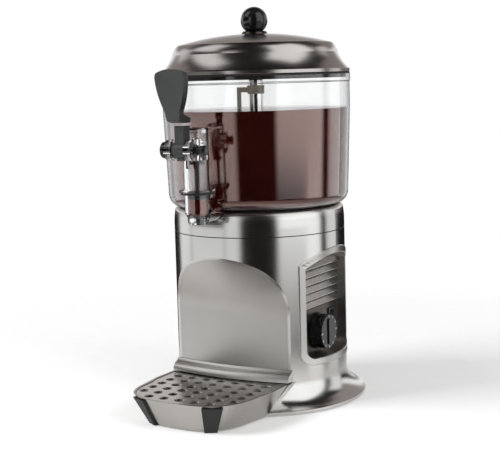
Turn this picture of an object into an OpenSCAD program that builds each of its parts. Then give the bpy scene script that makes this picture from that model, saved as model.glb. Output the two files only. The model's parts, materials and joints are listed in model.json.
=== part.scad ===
// Counter-top hot chocolate dispenser: a heated base with a cup niche, a clear bowl with a
// stirrer, a piston tap worked by a lever, a lift-off lid and a drip tray.
// Millimetres, +Z up, front of the machine towards -Y, ventilated dial panel on the +X side.

/* [Base column] */
// Radius of the round body
body_r = 101.5; // [96:0.5:104]
// Wall of the body shell
body_wall = 2; // [1.6:0.2:3]
// Height of the seam between body and top ring
seam_z = 199; // [195:1:205]
// Width of the black seam
seam_h = 1; // [0.8:0.2:2]
// Height of the face the bowl stands on
deck_z = 228; // [224:1:232]
// Radius of the foot flange
flange_r = 123.5; // [120:0.5:130]
// Thickness of the flange rim
flange_h = 3.4; // [2.6:0.2:5]
// Height at which the foot starts to flare
flare_z = 31; // [29:1:34]
// Radius of the hollow of the flare
flare_r = 27; // [27:0.5:31]
// How far the rubber feet stand below the body
foot_drop = 1.5; // [1:0.1:4]

/* [Cup niche] */
// Radius of the niche's gently curved back wall
niche_r = 340; // [300:5:380]
// Depth of the back wall on the centre line, from the body axis
niche_y = 76; // [74:0.5:80]
// Height at which the wall starts to curl forward
niche_curl_z = 110; // [100:1:116]
// Radius of that curl
niche_curl_r = 98; // [90:1:110]
// Half width of the dock that meets the drip tray
dock_half = 79.5; // [78:0.5:80]
// How far the apron stands out over the tray
apron_out = 9; // [7:0.5:11]
// Height of the apron's top edge on the niche wall
apron_top_z = 47; // [44:1:50]

/* [Side panel] */
// Half width of the panel frame
panel_half = 59; // [56:0.5:62]
// Lowest point of the panel frame
panel_z0 = 48; // [46.5:0.5:52]
// Highest point of the panel frame
panel_z1 = 181.6; // [178:0.4:186]
// Radius of the frame's lower corners
panel_corner = 18; // [14:1:22]
// Radius of the frame's arched top
panel_arch_r = 113; // [105:1:125]
// Width of the frame's face
frame_w = 8; // [7:0.5:9]
// Distance from the body axis to the flat plate at the back of the recess
plate_x = 75; // [73:0.5:78]
// Number of louvres
louvre_n = 6; // [4:1:6]
// Spacing of the louvres
louvre_pitch = 9.1; // [8.6:0.1:9.4]
// Height of the lowest louvre's lip
louvre_z = 109.5; // [108:0.5:112]
// How far a louvre stands out of the plate
louvre_out = 4.6; // [3.6:0.2:6]
// Diameter of the thermostat dial
dial_d = 43; // [38:0.5:44]
// Height of the dial's centre
dial_z = 79.2; // [78.6:0.2:82]
// Distance from the body axis to the dial's front
dial_x = 92.5; // [90:0.5:95]

/* [Bowl] */
// Outer radius at the rim
bowl_r = 110.5; // [108:0.5:112]
// How much narrower the bowl is above its bottom corner
bowl_draft = 3.8; // [2:0.1:5]
// Wall of the clear bowl
bowl_wall = 3; // [2.4:0.2:3.6]
// Radius of the bottom corner
bowl_corner = 14.5; // [12:0.5:16]
// Height of the rim
rim_z = 379; // [370:1:390]

/* [Lid] */
// Height of the lid's skirt
skirt_h = 35.2; // [30:0.2:40]
// Radius at the shoulder of the lid
shoulder_r = 91.5; // [86:0.5:95]
// Rise of the domed top
dome_h = 12; // [8:0.5:16]
// Wall of the lid
lid_wall = 1.5; // [1.2:0.1:2]
// Radius of the ball knob
knob_r = 15.8; // [14:0.2:19]
// Radius of the collar under the knob
collar_r = 15.5; // [13:0.5:18]

/* [Tap] */
// How far the tap's axis stands out from the bowl's rim
tap_reach = 23; // [21.5:0.5:25.5]
// Outer radius of the tap barrel
barrel_r = 14.5; // [14.5:0.1:15.5]
// Radius of the tap's bore
tap_bore_r = 11.5; // [11:0.1:12]
// Underside of the spout
spout_z = 219; // [216:0.5:220]
// Height of the joint between bowl outlet and barrel
barrel_z = 254; // [250:1:258]
// Top of the barrel
barrel_top_z = 323; // [320:1:328]
// Radius of the barrel's flange
tap_flange_r = 20; // [18:0.5:21]
// Thickness of the barrel's flange
tap_flange_h = 2.6; // [2:0.2:4]
// Height of the lever's hinge pin
pin_z = 302; // [300:1:304]
// Distance of the hinge pin in front of the tap's axis
pin_out = 27.5; // [27:0.5:30]
// Radius of the hinge pin
pin_r = 3; // [2.5:0.25:3.5]
// Radius of the ears that carry the pin
ear_r = 11.5; // [10:0.5:12]
// Half width between the ears
ear_in = 8.2; // [8.2:0.1:10]
// Half width over the ears
ear_out = 17; // [16:0.5:20]
// Angle of the lever's arm below horizontal when the tap is shut
arm_drop = 20; // [16:1:22]
// Angle the lever turns through
lever_turn = 25; // [20:1:26]
// Height of the lever's top
lever_top_z = 388.5; // [380:0.5:395]
// Half width of the lever's paddle
paddle_half = 18.6; // [15:0.2:22]
// Radius of the piston's rod
rod_r = 2.75; // [2:0.25:3.5]
// Turns of the return spring
spring_turns = 6; // [4:1:7]
// Wire diameter of the return spring
spring_wire = 1.1; // [0.8:0.1:1.3]

/* [Stirrer] */
// Radius of the stirrer's sleeve
sleeve_r = 8.5; // [8:0.1:10]
// Wall of the sleeve
sleeve_wall = 1.6; // [1.4:0.1:2]
// Top of the sleeve
sleeve_top_z = 374; // [366:1:376]
// Radius of the drive shaft
shaft_r = 4; // [3.5:0.1:4.4]
// Reach of the stirrer's blades
blade_r = 92; // [60:1:94]
// Distance of the upright stirring bar from the axis
bar_off = 20; // [16:1:40]

/* [Drip tray] */
// Height of the tray's rim
tray_z = 33; // [30:0.5:33.2]
// Height of the tray's underside
tray_low_z = 2; // [1.6:0.2:4]
// Half width of the tray
tray_half = 78; // [74:0.5:78]
// Distance from the body axis to the tray's front
tray_front = 201; // [190:1:215]
// How far the tray's walls lean in from rim to floor
tray_lean = 13.5; // [8:0.5:16]
// Wall of the tray
tray_wall = 1.6; // [1.2:0.1:2.4]
// Squareness of the tray's oval front, 2 for a true oval
tray_square = 2.8; // [2.4:0.1:3.2]
// Diameter of the grille's holes
hole_d = 8.6; // [6:0.2:9.6]
// Spacing of the holes from side to side
hole_pitch_x = 19.5; // [18:0.5:22]
// Spacing of the holes from front to back
hole_pitch_y = 17.5; // [17:0.5:20]
// Thickness of the grille
grille_t = 1.8; // [1.4:0.2:2]

/* [Hidden] */

$fn = 96;
gap = 0.3;
fit = 0.05;
steel = [0.72, 0.71, 0.69];
dark = [0.08, 0.08, 0.09];
clear = [0.85, 0.9, 0.92, 0.35];
cream = [0.9, 0.88, 0.8];
rubber = [0.05, 0.05, 0.05];

// The machine is centred front to back on its own outline.
shift_y = (tray_front - flange_r) / 2;

// Base column
body_in_r = body_r - body_wall;
rim_top_z = foot_drop + flange_h;
flare_x = body_r + flare_r;
ring_z = seam_z + seam_h;
deck_t = 3.4;
deck_in_r = body_r - 17.5;
spigot_depth = 8;
cover_r = 92;
cover_t = 2;
cover_open_r = 85;
ledge_t = 3;
foot_ring_r = 70;
screw_ring_r = 88.5;
floor_z = foot_drop + cover_t;

// Niche and dock
niche_cy = niche_r - niche_y;
niche_half = 80;
dock_back_y = -60;
dock_top_y = -76;
dock_low_y = -110.6;
dock_lean = 14.5;
dock_top_z = tray_z;
dock_z0 = rim_top_z + 1.1;
apron_z0 = tray_z + 1.2;

// Panel
arch_cz = panel_z1 - panel_arch_r;
backing_t = 2;
plate_back_x = plate_x - backing_t;
lip_r = 0.9;
louvre_h = 7.6;
slot_half = panel_half - frame_w - 6;
dial_back_x = plate_x + 0.8;
spindle_r = 3;
switch_x = plate_x - 0.2;
switch_y = 36;
switch_z = 90;

// Bowl and lid
bowl_z0 = deck_z;
floor_in_z = bowl_z0 + bowl_wall;
bowl_low_r = bowl_r - bowl_draft;
straight_z = bowl_z0 + 113;
bowl_hole_r = sleeve_r;
seal_z = rim_z + 1.6;
lid_r = bowl_r + 0.3;
bead_h = 5.4;
shoulder_z = seal_z + skirt_h;
seat_r = collar_r + 0.6;
dome_rho = (pow(shoulder_r, 2) - pow(seat_r, 2)) / (2 * dome_h);
seat_z = shoulder_z + dome_h;
collar_h = 3.3;
knob_z = seat_z + collar_h + 12.4;
screw_r = 2.5;

// Tap
tap_y = bowl_r + tap_reach;
duct_r = 13;
duct_z = spout_z + duct_r;
duct_end_y = -(deck_in_r + duct_r);
valve_z = spout_z + 10;
outlet_r = 7;
spout_r = 11.5;
cap_t = 4;
pin_y = tap_y + pin_out;
arm_len = pin_out / cos(arm_drop);
tip_z = pin_z - pin_out * tan(arm_drop);
tip_r = 4;
arm_w = 8;
arm_t = 3.2;
head_r = 8.4;
arm_rise = head_r * tan(arm_drop) + arm_t / 2 / cos(arm_drop) + gap;
head_z1 = tip_z + tip_r + gap + 2.6;
head_z0 = tip_z - tip_r - gap - 3;
lift = arm_len * (sin(arm_drop) - sin(arm_drop - lever_turn));
slot_z1 = tip_z + lift + tip_r + 6;
hub_r = 9;
hub_half = ear_in - gap;
disc_z = barrel_z - 7;
neck_half = 5.8;
band_z = 328.5;
band_h = 3;
paddle_z = band_z + band_h;
spring_r = 5.6;
spring_z0 = head_z1 + gap;
spring_z1 = barrel_top_z - cap_t - gap;

// Stirrer
column_r = sleeve_r - sleeve_wall - 0.6;
column_bore = column_r - 1.3;
column_top_z = sleeve_top_z - 10;
seal_h = 5;
sleeve_z0 = floor_in_z + seal_h + 1;
dog = 5.4;
motor_z = 168;
gearbox_r = 38;
gearbox_h = 26;
can_r = 28;
can_h = 52;
bracket_half = 55;
bracket_t = 3;
post_off = 40;
post_r = 4;

// Tray
tray_cy = 134;
tray_low_cy = 116;
rim_w = 2.6;
grille_z = tray_z - grille_t - 0.6;
basin_in = 6;
apron_r = niche_r + apron_out + 3.2;

module placed() {
    translate([0, shift_y, 0]) children();
}

// ---------------------------------------------------------------- shared outlines

// A circle's segment that bulges s out of the chord from a to b, to its right.
module bulge(a, b, s) {
    chord = norm(b - a);
    rad = (pow(chord / 2, 2) + pow(s, 2)) / (2 * s);
    dir = (b - a) / chord;
    out = [dir[1], -dir[0]];
    centre = (a + b) / 2 + out * (s - rad);
    intersection() {
        translate(centre) circle(r = rad, $fn = 200);
        polygon([a - out * 0.6, b - out * 0.6, b + out * (s + 1), a + out * (s + 1)]);
    }
}

// Points along an arc from a to b that bulges s to its right, a included and b left out.
function arc(a, b, s, n) =
    let (chord = norm(b - a), rad = (pow(chord / 2, 2) + s * s) / (2 * s), dir = (b - a) / chord,
         out = [dir[1], -dir[0]], centre = (a + b) / 2 + out * (s - rad),
         half = asin(chord / 2 / rad))
    [for (i = [0 : n - 1]) let (t = -half + 2 * half * i / n)
        centre + rad * (cos(t) * out + sin(t) * dir)];

// The same segment without the strip inside the chord, for cutting a hollow.
module scoop(a, b, s) {
    chord = norm(b - a);
    rad = (pow(chord / 2, 2) + pow(s, 2)) / (2 * s);
    dir = (b - a) / chord;
    out = [-dir[1], dir[0]];
    centre = (a + b) / 2 + out * (s - rad);
    intersection() {
        translate(centre) circle(r = rad, $fn = 200);
        polygon([a - out * 0.6, a + out * (s + 1), b + out * (s + 1), b - out * 0.6]);
    }
}

// Extrude a drawing made in the Y-Z plane along X, from x0 to x1.
module along_x(x0, x1) {
    translate([x0, 0, 0]) rotate([90, 0, 90]) linear_extrude(x1 - x0) children();
}

// Extrude a drawing made in the X-Z plane along Y, from y0 to y1.
module along_y(y0, y1) {
    translate([0, y1, 0]) rotate([90, 0, 0]) linear_extrude(y1 - y0) children();
}

module rod_x(r, x0, x1) {
    translate([x0, 0, 0]) rotate([0, 90, 0]) cylinder(r = r, h = x1 - x0);
}

// ---------------------------------------------------------------- base column

// The round body with its flared foot, taken in by k all over.
module column_form(k) {
    top = k > 0 ? seam_z + 1 : seam_z;
    low = k > 0 ? floor_z + ledge_t : foot_drop;
    rotate_extrude($fn = 180) difference() {
        translate([0, low]) square([flange_r - k, top - low]);
        translate([flare_x, flare_z]) circle(r = flare_r + k, $fn = 200);
        translate([body_r - k, flare_z]) square([flange_r, top]);
        flat = flare_x - sqrt(pow(flare_r, 2) - pow(flare_z - rim_top_z, 2));
        if (k == 0) translate([flat, rim_top_z]) square([flange_r, flare_z]);
        if (k > 0) translate([flat - 2 * k, low]) square([flange_r, flare_z]);
    }
}

// Everything in front of the niche wall; k moves the wall back into the body.
module niche_space(k) {
    difference() {
        translate([-niche_half - k, -flange_r - 4, dock_top_z - 0.4 - k])
            cube([2 * niche_half + 2 * k, flange_r + 4, seam_z - 4 - dock_top_z]);
        translate([0, niche_cy, 0]) rotate_extrude($fn = 360) difference() {
            translate([0, -2]) square([niche_r + 60 - k, seam_z + 2]);
            translate([niche_r - k, -3]) square([70, niche_curl_z + 3]);
            translate([niche_r + niche_curl_r - k, niche_curl_z]) circle(r = niche_curl_r, $fn = 300);
        }
    }
}

// Cross-section of the dock and the tray's back, leaning in towards the floor; k widens it.
module leaning_section(k) {
    top = dock_half + k;
    low = dock_half - dock_lean + k;
    polygon([[-top, dock_top_z], [-low, foot_drop - 1], [low, foot_drop - 1], [top, dock_top_z]]);
}

// What the tray takes out of the foot; k moves the sloping face back into the body.
module tray_space(k) {
    front = -flange_r - 5;
    intersection() {
        along_y(front, dock_back_y) leaning_section(k + 0.5);
        along_x(-dock_half - 9, dock_half + 9) polygon([
            [front, foot_drop - 2], [dock_low_y + k, foot_drop - 2], [dock_low_y + k, foot_drop],
            [dock_top_y + k, dock_top_z + 1], [front, dock_top_z + 1]
        ]);
    }
}

// The block behind the tray, before its front is cut to the slope.
module dock_form() {
    low = dock_half - dock_lean;
    along_y(dock_low_y - 3, dock_back_y) polygon([
        [-dock_half, dock_top_z], [-low, dock_z0], [low, dock_z0], [dock_half, dock_top_z]
    ]);
}

// Outline of the panel in Y-Z, taken in by k.
module panel_outline(k) {
    cr = max(panel_corner - k, 2);
    w = panel_half - k;
    z0 = panel_z0 + k;
    intersection() {
        translate([0, arch_cz]) circle(r = panel_arch_r - k, $fn = 240);
        union() {
            translate([-w, z0 + cr]) square([2 * w, panel_z1 - z0]);
            translate([-w + cr, z0]) square([2 * (w - cr), cr + 1]);
            for (s = [-1, 1]) translate([s * (w - cr), z0 + cr]) circle(r = cr);
        }
    }
}

module screw_places() {
    for (a = [45 : 90 : 315]) rotate(a) translate([screw_ring_r, 0, 0]) children();
}

module foot_places() {
    for (a = [45 : 90 : 315]) rotate(a) translate([foot_ring_r, 0, 0]) children();
}

gland_z = 64;
gland_r = 8;

module base_shell() {
    color(steel) placed() difference() {
        union() {
            column_form(0);
            dock_form();
        }
        niche_space(0);
        tray_space(0);
        difference() {
            column_form(body_wall);
            niche_space(body_wall);
            tray_space(body_wall);
        }
        along_x(60, body_r + 10) panel_outline(3);
        translate([0, 0, foot_drop - 1]) cylinder(r = cover_open_r, h = ledge_t + cover_t + 3);
        translate([0, 0, foot_drop - 1]) cylinder(r = cover_r + gap, h = cover_t + 1);
        screw_places() cylinder(r = screw_r_small + fit, h = 20);
        translate([0, 0, gland_z]) rotate([-90, 0, 0]) cylinder(r = gland_r + fit, h = body_r + 10);
    }
}

screw_r_small = 1.5;

module top_ring() {
    shoulder = [body_r - 1.2, deck_z - 6];
    lip = [body_r - 6.4, deck_z - 0.6];
    wall_r = body_in_r - 2;
    color(steel) placed() difference() {
        rotate_extrude($fn = 180) polygon(concat(
            [[wall_r, seam_z - spigot_depth], [body_in_r - 0.2, seam_z - spigot_depth],
             [body_in_r - 0.2, ring_z], [body_r, ring_z]],
            arc([body_r, ring_z + 8], shoulder, 0.3, 5),
            arc(shoulder, lip, 1.5, 8),
            [lip, [deck_in_r, deck_z - 0.6], [deck_in_r, deck_z - deck_t - 0.6],
             [wall_r - 4, deck_z - deck_t - 0.6], [wall_r, deck_z - deck_t - 6]]
        ));
        translate([0, 0, deck_z - 2]) difference() {
            cylinder(r = gasket_r1 + 0.1, h = 5);
            translate([0, 0, -1]) cylinder(r = gasket_r0 - 0.1, h = 7);
        }
        duct_space(gap);
    }
}

gasket_r0 = deck_in_r + 2;
gasket_r1 = gasket_r0 + 4;

// Room for the outlet duct under the bowl, with clearance k.
module duct_space(k) {
    translate([0, duct_end_y, duct_z]) {
        sphere(r = duct_r + k);
        rotate([90, 0, 0]) cylinder(r = duct_r + k, h = 40);
    }
    translate([-duct_r - k, duct_end_y - 40, duct_z]) cube([2 * (duct_r + k), 40, 12]);
}

module seam_gasket() {
    color(rubber) placed() rotate_extrude($fn = 180)
        translate([body_in_r - 0.1, seam_z]) square([body_wall - 0.8, seam_h]);
}

module bottom_cover() {
    color(dark) placed() difference() {
        translate([0, 0, foot_drop]) cylinder(r = cover_r, h = cover_t);
        screw_places() {
            cylinder(r = screw_r_small + fit, h = 20);
            cylinder(r = 3.2, h = foot_drop + 1);
        }
        foot_places() cylinder(r = foot_stem_r + fit, h = 20);
    }
}

foot_stem_r = 4;

module rubber_feet() {
    color(rubber) placed() foot_places() {
        cylinder(r = 9, h = foot_drop);
        cylinder(r = foot_stem_r, h = floor_z);
        translate([0, 0, floor_z]) cylinder(r = 5.2, h = 1.6);
    }
}

module cover_screws() {
    color(steel) placed() screw_places() {
        translate([0, 0, foot_drop]) cylinder(r = 3, h = 1);
        translate([0, 0, foot_drop]) cylinder(r = screw_r_small, h = cover_t + ledge_t);
    }
}

// The curved sill that carries the niche wall out over the back of the tray.
module niche_apron() {
    r0 = niche_r + gap / 6;
    top = apron_top_z;
    nose = [r0 + apron_out - 1.6, top - 4.6];
    foot = [r0 + apron_out + 3, apron_z0];
    color(steel) placed() intersection() {
        translate([0, niche_cy, 0]) rotate_extrude($fn = 360) polygon(concat(
            [[r0, apron_z0]],
            arc(foot, nose, 1.1, 6),
            arc(nose, [r0 + 1, top], -0.9, 6),
            [[r0 + 1, top], [r0, top]]
        ));
        translate([-dock_half + 1.7, -niche_y - 40, 0]) cube([2 * dock_half - 3.4, 80, 60]);
    }
}

// ---------------------------------------------------------------- side panel

// Points of the panel outline in Y-Z, taken in by k, always the same number of them.
function arch_z(y, k) = arch_cz + sqrt(pow(panel_arch_r - k, 2) - y * y);
function panel_points(k) =
    let (w = panel_half - k, z0 = panel_z0 + k, c = panel_corner - k * 0.9, n = 7, m = 12)
    concat(
        [for (i = [0 : m - 1]) [-w + c + 2 * (w - c) * i / m, z0]],
        [for (i = [0 : n]) [w - c + c * sin(90 * i / n), z0 + c - c * cos(90 * i / n)]],
        [for (i = [0 : 2 * m]) let (y = w - w * i / m) [y, arch_z(y, k)]],
        [for (i = [0 : n - 1]) [-w + c - c * cos(90 * i / n), z0 + c - c * sin(90 * i / n)]]
    );

// A ring of those points laid on a cylinder of radius r about the body axis, or on the plate.
function on_body(k, r) = [for (p = panel_points(k)) [sqrt(r * r - p[0] * p[0]), p[0], p[1]]];
function on_plate(k) = [for (p = panel_points(k)) [plate_x, p[0], p[1]]];

// A closed band swept through rings of as many points each.
module panel_band(rings) {
    n = len(rings[0]);
    m = len(rings);
    points = [for (r = rings) each r];
    faces = [for (j = [0 : m - 1], i = [0 : n - 1], h = [0, 1])
        let (a = j * n + i, b = j * n + (i + 1) % n, c = ((j + 1) % m) * n + i,
             d = ((j + 1) % m) * n + (i + 1) % n)
        h == 0 ? [a, c, b] : [b, c, d]];
    polyhedron(points, faces, convexity = 6);
}

// The surround: a face that follows the body, and a wall that runs in to the plate.
module panel_frame() {
    out = body_r + gap / 4;
    wall = 1.6;
    color(steel) placed() panel_band([
        on_body(0, out), on_body(0, out + 0.5), on_body(0.8, out + 1),
        on_body(frame_w - 0.8, out + 0.9), on_body(frame_w, out + 0.1), on_plate(frame_w),
        on_plate(frame_w - wall), on_body(frame_w - wall, out - wall), on_body(3.6, out - wall),
        on_body(3.6, out)
    ]);
}

// Pressed louvres with a rounded lip, open below.
module louvre_section(z) {
    tip = [plate_x + louvre_out - lip_r, z + lip_r];
    translate(tip) circle(r = lip_r);
    polygon([
        [plate_x, z + louvre_h - 2.6], tip - [lip_r, 0], tip + [lip_r, 0], [plate_x, z + louvre_h]
    ]);
}

module louvres() {
    color(steel) placed() intersection() {
        along_y(-panel_half, panel_half)
            for (i = [0 : louvre_n - 1]) louvre_section(louvre_z + louvre_pitch * i);
        along_x(20, body_r + 10) panel_outline(frame_w + 0.15);
    }
}

// The flat plate that carries louvres, dial and switch, with a slot behind each louvre.
module vent_backing() {
    color(steel) placed() difference() {
        along_x(plate_back_x, plate_x) panel_outline(4.2);
        for (i = [0 : louvre_n - 1])
            translate([plate_back_x - 1, -slot_half, louvre_z + louvre_pitch * i - 2.2])
                cube([backing_t + 2, 2 * slot_half, louvre_h - 1.4]);
        translate([0, 0, dial_z]) rod_x(spindle_r + 1.5, 20, 120);
        switch_place() cube([30, 13 + 2 * fit, 19 + 2 * fit], center = true);
    }
}

module switch_place() {
    translate([switch_x, switch_y, switch_z]) children();
}

module thermostat_body() {
    color(cream) placed() difference() {
        union() {
            translate([plate_back_x - 25, -18, dial_z - 18]) cube([22, 36, 36]);
            translate([0, 0, dial_z]) rod_x(7, plate_back_x - 4, plate_back_x);
        }
        translate([0, 0, dial_z]) rod_x(spindle_r + fit, plate_back_x - 20, 120);
    }
}

module thermostat_spindle() {
    color(steel) placed() difference() {
        translate([0, 0, dial_z]) rod_x(spindle_r, plate_back_x - 19.7, dial_x - 5);
        translate([dial_back_x, -5, dial_z + spindle_r * 0.6]) cube([40, 10, 5]);
    }
}

// A drum with fine grip notches and a raised bar across its front.
module thermostat_dial() {
    skirt_t = 4;
    grip_r = dial_d / 2 - 1;
    face_x = dial_x - 1.6;
    bar_half = grip_r - 8;
    color(dark) placed() translate([0, 0, dial_z]) difference() {
        union() {
            rod_x(dial_d / 2, dial_back_x, dial_back_x + skirt_t);
            translate([dial_back_x, 0, 0]) rotate([0, 90, 0])
                cylinder(r1 = grip_r, r2 = grip_r - 0.8, h = face_x - dial_back_x);
            along_x(dial_back_x + 1, dial_x) union() {
                translate([-3, -bar_half]) square([6, 2 * bar_half]);
                for (s = [-1, 1]) translate([0, s * bar_half]) circle(r = 3);
            }
        }
        for (a = [0 : 15 : 345])
            rotate([a, 0, 0]) translate([dial_back_x + skirt_t, 0, grip_r + 0.4]) rod_x(1.1, 0, 30);
        difference() {
            rod_x(spindle_r + fit, dial_back_x - 1, dial_x - 4.6);
            translate([dial_back_x - 2, -5, spindle_r * 0.6 + fit]) cube([40, 10, 5]);
        }
    }
}

module switch_housing() {
    color(dark) placed() switch_place() difference() {
        union() {
            translate([-16, -6.5, -9.5]) cube([16.2, 13, 19]);
            translate([0.2, -7.6, -10.6]) cube([1.6, 15.2, 21.2]);
        }
        translate([-9, -4.6, -7.6]) cube([20, 9.2, 15.2]);
        translate([-3, -8, 0]) rotate([-90, 0, 0]) cylinder(r = 1 + fit, h = 16);
    }
}

module switch_rocker() {
    color(dark) placed() switch_place() difference() {
        union() {
            translate([-3, -5.9, 0]) rotate([-90, 0, 0]) cylinder(r = 1, h = 11.8);
            along_rocker() polygon([[-4.6, -6.3], [-4.6, 6.3], [1.6, 6.3], [2.6, 0.8], [3.4, -6.3]]);
        }
        translate([24, -10, 4]) rotate([-90, 0, 0]) cylinder(r = 21, h = 20, $fn = 150);
    }
}

module along_rocker() {
    translate([0, 4.2, 0]) rotate([90, 0, 0]) linear_extrude(8.4) children();
}

// ---------------------------------------------------------------- drive and heater

module motor_bracket() {
    under = motor_z - bracket_t;
    color(steel) placed() difference() {
        union() {
            translate([-bracket_half, -bracket_half, under])
                cube([2 * bracket_half, 2 * bracket_half, bracket_t]);
            for (x = [-post_off, post_off], y = [-post_off, post_off])
                translate([x, y, floor_z]) cylinder(r = post_r, h = under - floor_z);
        }
        translate([0, 0, motor_z - 10]) cylinder(r = 12, h = 20);
    }
}

module gear_motor() {
    top = motor_z - bracket_t;
    can_top = top - gearbox_h;
    color([0.55, 0.56, 0.58]) placed() difference() {
        union() {
            translate([0, 0, can_top]) cylinder(r = gearbox_r, h = gearbox_h);
            translate([0, 0, can_top - can_h]) cylinder(r = can_r, h = can_h);
            translate([0, 0, can_top - can_h - 5]) cylinder(r = 9, h = 6);
            translate([0, 0, top - 1]) cylinder(r = 10, h = 9);
        }
        translate([0, 0, motor_z - 16]) cylinder(r = shaft_r + fit, h = 40);
    }
}

module heating_plate() {
    color([0.78, 0.78, 0.8]) placed() difference() {
        union() {
            translate([0, 0, deck_z - 6]) cylinder(r = deck_in_r - 0.5, h = 6, $fn = 180);
            translate([0, 0, deck_z - 7.6]) cylinder(r = deck_in_r + 7, h = 3.6, $fn = 180);
            translate([0, 0, deck_z - 15]) difference() {
                cylinder(r = 66, h = 8);
                translate([0, 0, -1]) cylinder(r = 54, h = 10);
            }
        }
        translate([0, 0, deck_z - 20]) cylinder(r = column_r + fit, h = 40);
        duct_space(gap);
    }
}

module column_tube() {
    color([0.8, 0.8, 0.8]) placed() difference() {
        union() {
            translate([0, 0, deck_z - 12]) cylinder(r = column_r, h = column_top_z - deck_z + 12);
            translate([0, 0, deck_z - 12]) cylinder(r = 14, h = 4.4);
        }
        translate([0, 0, deck_z - 20]) cylinder(r = column_bore, h = 200);
    }
}

module shaft_bushes() {
    color([0.7, 0.5, 0.25]) placed() for (z = [deck_z - 12, column_top_z - 14])
        translate([0, 0, z]) difference() {
            cylinder(r = column_bore - fit / 5, h = 12);
            translate([0, 0, -1]) cylinder(r = shaft_r + fit, h = 14);
        }
}

module column_seal() {
    color(rubber) placed() rotate_extrude() polygon([
        [column_r + fit, deck_z], [bowl_hole_r - fit, deck_z],
        [bowl_hole_r - fit, floor_in_z], [bowl_hole_r + 3, floor_in_z],
        [bowl_hole_r + 3, floor_in_z + 2], [column_r + 1.4, floor_in_z + seal_h],
        [column_r + fit, floor_in_z + seal_h]
    ]);
}

module drive_shaft() {
    color([0.8, 0.8, 0.82]) placed() union() {
        translate([0, 0, motor_z - 15.7]) cylinder(r = shaft_r, h = column_top_z + 1 - motor_z + 15.7);
        translate([-dog / 2, -dog / 2, column_top_z]) cube([dog, dog, 6.4]);
    }
}

module stirrer_sleeve() {
    color(cream) placed() difference() {
        union() {
            translate([0, 0, sleeve_z0]) cylinder(r = sleeve_r, h = sleeve_top_z - sleeve_z0);
            translate([0, 0, sleeve_top_z]) cylinder(r1 = sleeve_r, r2 = sleeve_r - 1.2, h = 1.2);
        }
        translate([0, 0, sleeve_z0 - 1])
            cylinder(r = sleeve_r - sleeve_wall, h = column_top_z + 2 - sleeve_z0 + 1);
        translate([-dog / 2 - 0.1, -dog / 2 - 0.1, column_top_z]) cube([dog + 0.2, dog + 0.2, 6.8]);
    }
}

// Two sloping blades low in the bowl and one upright bar that reaches to the top.
module stirrer_blades() {
    low = sleeve_z0 + 1;
    color(cream) placed() difference() {
        union() {
            for (a = [90, 270]) rotate(a) translate([0, 0, low]) along_blade() polygon([
                [0, 0], [blade_r, 0], [blade_r + 2, 8], [blade_r - 4, 22], [40, 30], [0, 44]
            ]);
            rotate(180 + 30) {
                translate([bar_off, 0, low + 10])
                    cylinder(r = 2.6, h = sleeve_top_z - 8 - low - 10);
                for (z = [low + 14, sleeve_top_z - 14])
                    translate([0, -2.4, z]) cube([bar_off, 4.8, 6]);
                translate([0, -2.4, low + 10]) cube([bar_off, 4.8, 6]);
            }
            translate([0, 0, low]) cylinder(r = sleeve_r + 3, h = 40);
            translate([0, 0, sleeve_top_z - 16]) cylinder(r = sleeve_r + 1.6, h = 10);
        }
        translate([0, 0, low - 1]) cylinder(r = sleeve_r + fit, h = 200);
    }
}

module along_blade() {
    translate([0, 1.6, 0]) rotate([90, 0, 0]) linear_extrude(3.2) children();
}

// ---------------------------------------------------------------- bowl

module bowl_gasket() {
    color(rubber) placed() difference() {
        rotate_extrude($fn = 180) translate([gasket_r0, deck_z - 2])
            square([gasket_r1 - gasket_r0, 2]);
        duct_space(gap);
    }
}

// Outside of the bowl (k = 0), or its inside (k = wall).
module bowl_profile(k) {
    c = bowl_corner - k;
    z0 = bowl_z0 + k;
    top = rim_z + k;
    corner = bowl_low_r - bowl_corner;
    union() {
        polygon([
            [0, z0], [corner, z0], [bowl_low_r - k, z0 + c], [bowl_r - k, straight_z],
            [bowl_r - k, top], [0, top]
        ]);
        bulge([corner, z0], [bowl_low_r - k, z0 + c], c * (1 - sqrt(0.5)));
    }
}

module bowl() {
    color(clear) placed() difference() {
        union() {
            rotate_extrude($fn = 180) union() {
                bowl_profile(0);
                polygon([
                    [bowl_r - 1, rim_z - 8.8], [bowl_r, rim_z - 8.8], [bowl_r + 0.8, rim_z - 8],
                    [bowl_r + 0.8, rim_z], [bowl_r - 1, rim_z]
                ]);
            }
            outlet_outer();
        }
        rotate_extrude($fn = 180) bowl_profile(bowl_wall);
        translate([0, 0, deck_z - 1]) cylinder(r = bowl_hole_r, h = 10);
        outlet_inner();
    }
}

// Duct, lower barrel and spout, moulded in one with the bowl.
module outlet_outer() {
    translate([0, duct_end_y, duct_z]) sphere(r = duct_r);
    translate([0, duct_end_y, duct_z]) rotate([90, 0, 0])
        cylinder(r = duct_r, h = tap_y + duct_end_y);
    translate([0, -tap_y, 0]) rotate_extrude() polygon([
        [0, spout_z], [spout_r - 1.5, spout_z], [spout_r, spout_z + 2], [spout_r, spout_z + 7],
        [barrel_r, spout_z + 12.5], [barrel_r, barrel_z], [0, barrel_z]
    ]);
}

module outlet_inner() {
    translate([0, duct_end_y, duct_z]) sphere(r = duct_r - bowl_wall);
    translate([0, duct_end_y, duct_z]) rotate([90, 0, 0])
        cylinder(r = duct_r - bowl_wall, h = tap_y + duct_end_y - tap_bore_r + 2);
    translate([0, -tap_y, valve_z]) cylinder(r = tap_bore_r, h = 60);
    translate([0, -tap_y, spout_z - 1]) cylinder(r = outlet_r, h = 20);
    for (a = [0, 90]) translate([0, -tap_y, spout_z]) rotate(a)
        translate([-30, -1.8, -1]) cube([60, 3.6, 3.2]);
}

// ---------------------------------------------------------------- tap

module at_pin() {
    translate([0, -pin_y, pin_z]) children();
}

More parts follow.
